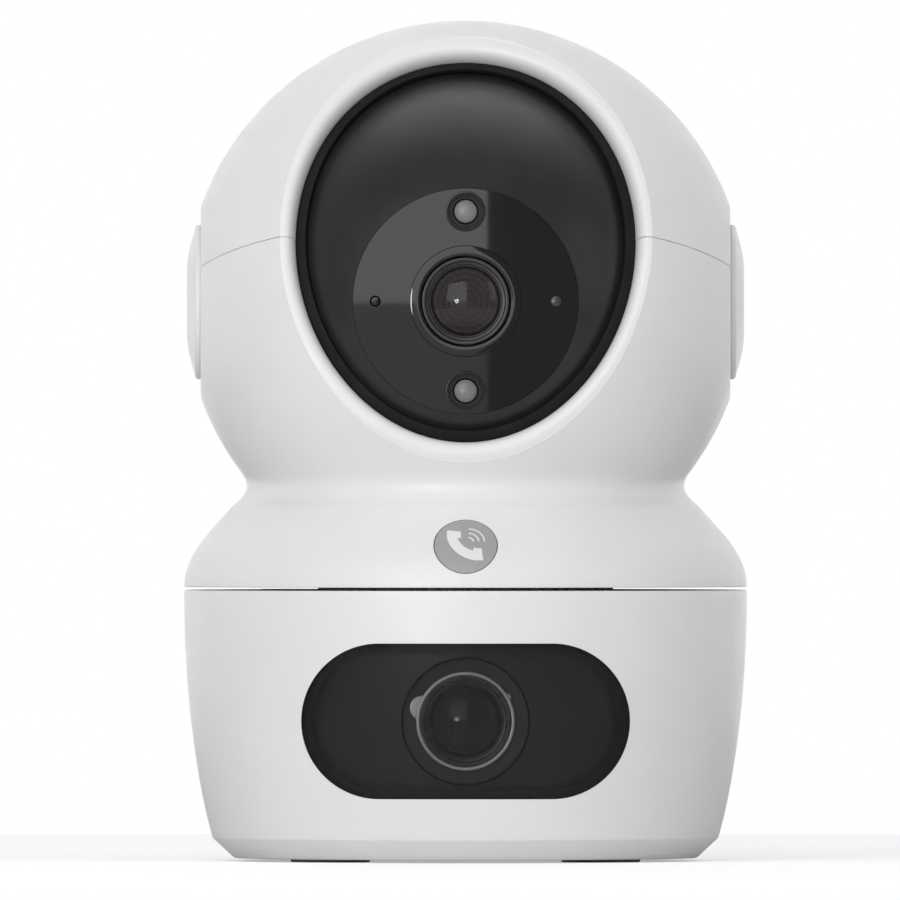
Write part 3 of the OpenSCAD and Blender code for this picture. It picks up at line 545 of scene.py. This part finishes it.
def buildUnderside():
    row = [(0, feet["sunk"]), (feet["dish"], feet["sunk"]), (feet["lip"], 0), (feet["outer"], 0),
           (feet["outer"], feet["top"]), (0, feet["top"])]
    x = high("rubber_feet").x - feet["outer"]
    y = high("rubber_feet").y - feet["outer"]
    pads = []
    for spot in ((x, y, 0), (-x, y, 0), (-x, -y, 0), (x, -y, 0)):
        pads.append(placed(lathe(softened(row, feet["round"]), 72, closed=False), Matrix.Translation(spot)))
    finishPiece(joined(pads), "rubberFeet", "base", "rubber", ["rubber_feet"])
    polishNode("base_cover", "baseCover", "base", "white_shell", 0.15)
    bottom, top = low("tripod_insert").z, high("tripod_insert").z
    crest, root, pitch, depth = (insert[key] for key in ("crest", "root", "pitch", "depth"))
    thread = []
    for k in range(7):
        thread += [(crest, bottom + 0.2 + pitch * k), (root, bottom + 0.45 + pitch * k)]
    row = [(0, bottom + depth), (crest, bottom + depth)] + thread[::-1] + [(root, bottom)]
    row += [(insert["outer"], bottom), (insert["outer"], top), (0, top)]
    body = lathe(row, 72, closed=True)
    finishPiece(body, "tripodInsert", "base", "brass", ["tripod_insert"])


def buildSocket():
    near, far = low("power_socket").y, high("power_socket").y
    half = (high("power_socket").x, high("power_socket").z - socketZ)
    face = Matrix.Rotation(math.pi, 4, "Z") @ atFront(socketZ)
    can = placed(stadium(*half, near, far), face)
    bore = placed(stadium(half[0] - 0.35, half[1] - 0.35, near + 1, far + 1), face)
    tongue = block((6.6, 4.6, 0.7), (0, near + 3.4, socketZ), 0.1)
    finishPiece(joined([carve(can, [bore]), tongue]), "powerSocket", "base", "steel", ["power_socket"])


buildBaseShell()
buildWindow()
buildUnderside()
buildSocket()
polishNode("lens_frame", "lensFrame", "base", "black_matte")
polishNode("speaker_cone", "speakerCone", "base", "cone_paper")
print("base modelled")


# lenses

def lensDome(radius, curve, edge, back):
    sag = curve - math.sqrt(curve * curve - radius * radius)
    lean = math.degrees(math.asin(radius / curve))
    row = [(0, back), (radius, back)] + arcRow(curve, (0, edge + sag - curve), 90 - lean, 90, 14)
    row[-1] = (0, edge + sag)
    return lathe(row, 96, closed=False)


def barrelRow(radius, front, glassR, back):
    steps = [(radius, front), (glassR + 0.9, front), (glassR + 0.8, front - 0.45),
             (glassR + 0.35, front - 0.45), (glassR + 0.3, front - 0.9), (glassR, front - 0.9)]
    throat = []
    for k in range(4):  # stepped baffle that narrows to the inner element
        wide, deep = glassR - 0.6 - 0.9 * k, front - 1.9 - 1.0 * k
        throat += [(wide, deep), (wide - 0.3, deep)]
    pupil = [(1.95, front - 6.2), (0, front - 6.2)]
    return [(0, back), (radius, back)] + softened(steps, 0.12)[1:] + throat + pupil


fixedLens = {"glassR": 5.95, "curve": 9.0, "ringT": 1.0, "tabOut": 7.6, "tabR": 2.0}


def buildFixedLens():
    front = -low("fixed_lens_bezel").y
    outer, barrelR = high("fixed_lens_bezel").x, high("fixed_lens_barrel").x
    face = atFront(windowZ)
    ringIn, ringBack = barrelR + 0.02, front - fixedLens["ringT"]
    ring = [(ringIn, ringBack), (outer, ringBack), (outer, front), (ringIn, front)]
    tabs = []
    for angle, size, out in ((163, fixedLens["tabR"], fixedLens["tabOut"]), (30, 0.55, 8.1)):
        turn = Matrix.Rotation(math.radians(angle), 4, "Z") @ Matrix.Translation((out, 0, 0))
        tab = softened([(0, front - 1), (size, front - 1), (size, front - 0.3), (0, front - 0.3)], 0.1)
        tabs.append(placed(lathe(tab, 40, closed=False), turn))
    clips = carve(joined(tabs), [rod(barrelR + 0.03, front - 3, front + 1, 96)])
    bezel = placed(joined([lathe(softened(ring, 0.15), 128), clips]), face)
    finishPiece(bezel, "fixedLensBezel", "base", "silver_ring", ["fixed_lens_bezel"])
    glassR = fixedLens["glassR"]
    barrel = placed(lathe(barrelRow(barrelR, front, glassR, front - 12), 128, closed=False), face)
    finishPiece(barrel, "fixedLensBarrel", "base", "black_matte", ["fixed_lens_barrel"], 32, "cupGrey")
    dome = placed(lensDome(glassR - 0.02, fixedLens["curve"], front - 0.85, front - 1.5), face)
    inner = placed(lensDome(1.93, 2.6, front - 5.2, front - 5.9), face)
    finishPiece(joined([dome, inner]), "fixedLensGlass", "base", "lens_glass", ["fixed_lens_glass"])
    polishNode("fixed_lens_holder", "fixedLensHolder", "base", "black_matte")


buildFixedLens()
print("fixed lens modelled")


# head

head = {
    "neckR": 36.4, "neckH": 16.3, "wall": 2.2, "capR": 12.9, "liner": 41.9, "steps": 224, "edge": 0.3,
    "seamTilt": 14.8, "seamRise": 1.8, "seamGap": 0.09, "callR": 5.2, "flat": 20.0,
}
opening = {"tilt": 17.65, "inner": (28.2, 33.2), "outer": (31.6, 38.1), "steps": 192, "lipTurn": 78,
           "rimOut": 42.6, "rimIn": 41.55, "rimWidth": 1.7}
headR = high("head_upper_shell").z - tiltZ
sideX = high("head_upper_shell").x
shoulderZ = low("head_lower_shell").z


def shoulderFoot():
    return (head["neckR"] + 2.6, shoulderZ + head["neckH"] - 2.85)


def shoulderRow(steps):
    foot = shoulderFoot()
    pull = (foot[0] + 3.6, foot[1] - 4.2)
    return curveRow((bodyR, shoulderZ), (bodyR, shoulderZ + 5.45), pull, foot, steps)


def neckRow(steps):
    foot = shoulderFoot()
    topZ = shoulderZ + head["neckH"] + 2.95
    topR = math.sqrt(headR ** 2 - (tiltZ - topZ) ** 2)
    lean = (tiltZ - topZ) / topR
    pulls = (foot[0] - 2.6, foot[1] + 2), (topR - 2.4 * lean, topZ - 2.4)
    return curveRow(foot, *pulls, (topR, topZ), steps)


def onOpening(turn, station):  # a point of the oval at a distance from the ball's middle
    halfW, halfH, reach = station
    x, v = halfW * math.cos(turn), halfH * math.sin(turn)
    depth = math.sqrt(reach * reach - x * x - v * v)
    tilt = math.radians(opening["tilt"])
    rise, run = math.sin(tilt), math.cos(tilt)
    return Vector((x, v * rise - depth * run, tiltZ + v * run + depth * rise))


def ovalSweep(stations):
    bm = lathe([(1, k) for k in range(len(stations))], opening["steps"], closed=False)
    for vert in bm.verts:
        vert.co = onOpening(math.atan2(vert.co.y, vert.co.x), stations[round(vert.co.z)])
    return outward(bm)


def openingTool():
    (w, h), (outW, outH) = opening["inner"], opening["outer"]
    stations = [(0, 0, 36), (w, h, 36), (w, h, head["liner"] - 0.5)]
    for k in range(15):
        turn = math.radians(opening["lipTurn"] * k / 14)
        ease = 1 - math.cos(turn)
        stations.append((w + (outW - w) * ease, h + (outH - h) * ease,
                         head["liner"] + (headR - head["liner"]) * math.sin(turn)))
    return ovalSweep(stations + [(outW, outH, headR + 0.9), (outW + 0.6, outH + 0.6, 70), (0, 0, 70)])


def callPlace():
    spot = shoulderRow(2)[1]
    inwards = joints["call_press"]["axis"]
    lean = math.atan2(inwards[1], -inwards[2])
    return Matrix.Translation((0, -spot[0], spot[1])) @ Matrix.Rotation(lean, 4, "X")


def seamBox(side):
    box = block((140, 140, 80), (0, 0, side * (40 + head["seamGap"])))
    tilt = Matrix.Rotation(-math.radians(head["seamTilt"]), 4, "X")
    return placed(box, Matrix.Translation((0, 0, tiltZ + head["seamRise"])) @ tilt)


def buildHeadShells():
    shoulder, neck = shoulderRow(28), neckRow(14)
    start = math.degrees(math.asin((neck[-1][1] - tiltZ) / headR))
    globe = arcRow(headR, (0, tiltZ), start, 90, 84)
    skin = inset(shoulder, head["wall"])
    lowSkin = [p for p in skin if p[1] > shoulderZ + 0.3]
    innerStart = math.degrees(math.asin((shoulder[-1][1] + 3.2 - tiltZ) / head["liner"]))
    liner = arcRow(head["liner"], (0, tiltZ), innerStart, 90, 56)
    globe[-1], liner[-1] = (0, tiltZ + headR), (0, tiltZ + head["liner"])
    lip = softened([(skin[0][0], shoulderZ), (bodyR, shoulderZ), shoulder[3]], head["edge"])[4:8]
    row = liner[::-1] + [(head["neckR"] - head["wall"], liner[0][1])]
    row += lowSkin[::-1] + [(skin[0][0], shoulderZ)]
    row += lip + shoulder[2:] + neck[1:] + globe[1:]
    shell = lathe(row, head["steps"], closed=False)
    across = Matrix.Translation((0, 0, tiltZ)) @ Matrix.Rotation(math.radians(90), 4, "Y")
    pocket = [(0, 30), (20.5, 30), (20.5, 39.3), (16, 39.3), (16, 43), (0, 43)]
    tools = [openingTool()]
    for side in (1, -1):
        spot = Matrix.Rotation(0 if side > 0 else math.pi, 4, "Z")
        tools.append(placed(lathe(pocket, 96, closed=False), spot @ across))
        flat = head["flat"]
        tools.append(block((2 * flat, 2 * flat, 2 * flat), (side * (sideX + flat), 0, tiltZ)))
    tools.append(placed(rod(head["callR"] + 0.15, -6, 8, 96), callPlace()))
    shell = carve(shell, [joined(tools)])
    upper = carve(shell.copy(), [seamBox(-1)])
    lower = carve(shell, [seamBox(1)])
    finishPiece(upper, "headUpperShell", "head", "white_shell", ["head_upper_shell"], 24)
    finishPiece(lower, "headLowerShell", "head", "white_shell", ["head_lower_shell"], 24)


# a near-black ring lining the head opening, painted shade where the gap between the shell and the ball falls into
# shadow
def buildOpeningShadeRing():
    (w, h), thick = opening["inner"], opening["rimWidth"]
    near, far = opening["rimIn"], opening["rimOut"]
    row = [(thick, near), (thick, far - 0.5), (thick - 0.15, far - 0.15), (thick - 0.5, far),
           (0.02, far + 0.1), (0.02, near), (thick, near)]
    rim = ovalSweep([(w - step, h - step, reach) for step, reach in row])
    finishPiece(rim, "openingRim", "head", "black_matte", finish="rimBlack")


def buildSideCaps():
    spread = head["capR"]
    rim = 0.94
    proud = high("side_cap_right").x
    row = [(0, sideX - 1.2), (5.4, sideX - 1.2), (5.4, sideX), (spread - 0.15, sideX),
           (spread, sideX + 0.15), (spread, sideX + rim - 0.35)]
    row += curveRow((spread - 0.3, sideX + rim), (spread - 2.5, sideX + rim + 0.5),
                    (8.5, proud), (5.5, proud), 16)
    row += [(0, proud)]
    for turn, name, node in ((90, "sideCapRight", "side_cap_right"), (-90, "sideCapLeft", "side_cap_left")):
        place = Matrix.Translation((0, 0, tiltZ)) @ Matrix.Rotation(math.radians(turn), 4, "Y")
        cap = placed(lathe(row, 144, closed=False), place)
        finishPiece(cap, name, "head", "white_shell", [node], 50)


callMark = {
    "middle": (2.2, 2.3), "band": (3.65, 5.35), "bandTurn": (182, 268), "ear": (3.0, 5.3),
    "ears": ((172, 196), (254, 278)), "waveMiddle": (0.43, 0.6), "waves": (0.85, 1.75, 2.7), "waveT": 0.12,
}


def arcBar(middle, radii, turns):
    row = [(radii[0], -1), (radii[1], -1), (radii[1], 1), (radii[0], 1)]
    bar = lathe(row, 24, turn=math.radians(turns[1] - turns[0]))
    place = Matrix.Translation((*middle, 0)) @ Matrix.Rotation(math.radians(turns[0]), 4, "Z")
    return placed(bar, place)


def buildCallButton():
    rows = shoulderRow(48)
    place = callPlace()
    cap = frontSector(inset(rows, 0.02) + inset(rows, 1.6)[::-1], 30, 40)
    cap = carve(cap, [placed(rod(head["callR"], -3, 3, 96), place)], "INTERSECT")
    stemR, flangeR = head["callR"] - 0.2, head["callR"] + 0.3
    outline = [(0, -4.4), (flangeR, -4.4), (flangeR, -3.9), (stemR, -3.9), (stemR, -1.4), (0, -1.4)]
    stem = placed(lathe(softened(outline, 0.1), 72, closed=False), place)
    finishPiece(joined([cap, stem]), "callButton", "call_button", "grey_plastic", ["call_button"])
    middle = callMark["middle"]
    ears = [arcBar(middle, callMark["ear"], turns) for turns in callMark["ears"]]
    handset = carve(arcBar(middle, callMark["band"], callMark["bandTurn"]), ears, "UNION")
    thick = callMark["waveT"]
    waves = [arcBar(callMark["waveMiddle"], (r - thick, r + thick), (2, 88)) for r in callMark["waves"]]
    skin = frontSector(inset(rows, 0.0) + inset(rows, 0.3)[::-1], 30, 40)
    mark = carve(skin, [placed(joined([handset] + waves), place)], "INTERSECT")
    finishPiece(mark, "callMark", "call_button", "white_shell", finish="markInk")


buildHeadShells()
buildOpeningShadeRing()
buildSideCaps()
buildCallButton()
print("head modelled")


# ball with the turning camera

ball = {
    "wall": 2.0, "split": 8.0, "discGap": 0.08, "crown": 0.87, "seat": 16.5, "cupR": 3.3, "lightZ": 14.9,
    "dotX": 15.0, "lensRingR": 9.2, "steps": 256,
    "slotTurn": 140, "slotX": 3.4, "resetX": -9.0, "resetR": 1.5,
}
discR = high("face_disc").x
discFront = -low("face_disc").y
ballR = math.hypot(discR, discFront)
sideFlat = 33.0
ballFace = atFront(tiltZ)
slotPlace = Matrix.Translation((0, 0, tiltZ)) @ Matrix.Rotation(math.radians(ball["slotTurn"]), 4, "X")


def discHeight(r):  # the face disc is very slightly domed
    return discFront + ball["crown"] * (1 - (r / discR) ** 2)


def buildBallFront():
    edge = discR + ball["discGap"]
    first = 90 - math.degrees(math.asin(edge / ballR))
    last = math.degrees(math.asin(ball["split"] / ballR))
    innerR = ballR - ball["wall"]
    ledge = discFront - 1.66
    outer = arcRow(ballR, (0, 0), first, last, 64)
    inner = arcRow(innerR, (0, 0), math.degrees(math.asin(ball["split"] / innerR)),
                   90 - math.degrees(math.asin(19.5 / innerR)), 40)
    row = outer + inner + [(ball["seat"], inner[-1][1]), (ball["seat"], ledge), (edge, ledge)]
    shell = placed(lathe(row, ball["steps"]), ballFace)
    tools = [block((40, 100, 100), (side * (sideFlat + 20), 0, tiltZ)) for side in (1, -1)]
    slotTool = stadium(6, 0.8, ballR - 6, ballR + 1, 40)
    resetTool = rod(ball["resetR"] + 0.15, ballR - 6, ballR + 1)
    placed(slotTool, Matrix.Translation((ball["slotX"], 0, 0)))
    placed(resetTool, Matrix.Translation((ball["resetX"], 0, 0)))
    tools.append(placed(joined([slotTool, resetTool]), slotPlace))
    finishPiece(carve(shell, [joined(tools)]), "ballFront", "ball", "black_gloss", ["ball_front"], 28)


def buildFaceDisc():
    inner = ball["lensRingR"] + 0.06
    radii = [inner + (discR - inner) * k / 12 for k in range(13)]
    crown = [(r, discHeight(r)) for r in radii]
    back = discFront - 1.6
    row = [(inner, back), *crown, (discR, back)]
    tools = [rod(ball["cupR"] + 0.04, 30, 45, 96), rod(ball["cupR"] + 0.04, 30, 45, 96)]
    placed(tools[0], Matrix.Translation((0, ball["lightZ"], 0)))
    placed(tools[1], Matrix.Translation((0, -ball["lightZ"], 0)))
    for side in (1, -1):
        tools.append(placed(rod(0.93, 30, 45, 48), Matrix.Translation((side * ball["dotX"], 0, 0))))
    disc = carve(lathe(row, ball["steps"]), [joined(tools)])
    finishPiece(placed(disc, ballFace), "faceDisc", "ball", "smoked_window", ["face_disc"], 40, "discGloss")


mainLens = {"glassR": 5.75, "curve": 9.2, "barrelR": 7.25, "ringR": 7.6}


def buildMainLens():
    front = discHeight(ball["lensRingR"])
    ring = [(mainLens["ringR"], front - 2.6), (ball["lensRingR"], front - 2.6), (ball["lensRingR"], front),
            (mainLens["ringR"], discHeight(mainLens["ringR"]))]
    finishPiece(placed(lathe(softened(ring, 0.06), 192), ballFace), "lensRing", "ball", "black_gloss",
                ["lens_ring"], 40, "discGloss")
    glassR = mainLens["glassR"]
    barrel = lathe(barrelRow(mainLens["barrelR"], front, glassR, front - 12), 144, closed=False)
    placed(barrel, ballFace)
    finishPiece(barrel, "lensBarrel", "ball", "black_matte", ["lens_barrel"], 32, "cupGrey")
    dome = lensDome(glassR - 0.02, mainLens["curve"], front - 0.85, front - 1.5)
    inner = lensDome(1.93, 2.6, front - 5.2, front - 5.9)
    finishPiece(placed(joined([dome, inner]), ballFace), "lensGlass", "ball", "lens_glass", ["lens_glass"])
    polishNode("lens_holder", "lensHolder", "ball", "black_matte")


def buildLights():
    lift = discHeight(ball["lightZ"])
    cupR = ball["cupR"]
    cup = [(cupR, lift - 2.9), (cupR, lift - 0.05), (cupR - 0.18, lift), (cupR - 0.4, lift - 0.2),
           (2.35, lift - 1.2), (2.25, lift - 1.2), (1.95, lift - 1.75), (1.88, lift - 2.9)]
    led = [(0, lift - 2.8), (1.86, lift - 2.8)] + arcRow(3.6, (0, lift - 4.55), 59, 90, 8)
    led[-1] = (0, lift - 0.95)
    cups, leds = [], []
    for side in (1, -1):
        spot = ballFace @ Matrix.Translation((0, side * ball["lightZ"], 0))
        cups.append(placed(lathe(cup, 96), spot))
        leds.append(placed(lathe(led, 64, closed=False), spot))
    finishPiece(joined(cups), "lightCups", "ball", "grey_plastic", ["light_cups"], 40, "cupGrey")
    finishPiece(joined(leds), "spotLeds", "ball", "led_phosphor", ["spot_leds"], 50)


def buildDots():
    lift = discHeight(ball["dotX"])
    plug = [(0, lift - 2.5), (0.92, lift - 2.5), (0.92, lift - 0.7), (0.66, lift - 0.8),
            (0.66, lift - 0.02), (0.16, lift), (0.15, lift - 0.6), (0, lift - 0.6)]
    spot = ballFace @ Matrix.Translation((-ball["dotX"], 0, 0))
    finishPiece(placed(lathe(plug, 48, closed=False), spot), "microphonePlug", "ball", "black_gloss",
                finish="discGloss")
    lens = [(0, lift - 2.5), (0.88, lift - 2.5), (0.88, lift - 0.1), (0.6, lift), (0, lift + 0.05)]
    spot = ballFace @ Matrix.Translation((ball["dotX"], 0, 0))
    window = placed(lathe(lens, 48, closed=False), spot)
    finishPiece(window, "statusLed", "ball", "status_window", ["status_led"])


buildBallFront()
buildFaceDisc()
buildMainLens()
buildLights()
buildDots()
polishNode("ball_rear", "ballRear", "ball", "black_gloss")
polishNode("reset_button", "resetButton", "reset_button", "grey_plastic", 0.1)
polishNode("card_socket", "cardSocket", "ball", "steel", 0.05)
print("ball modelled")
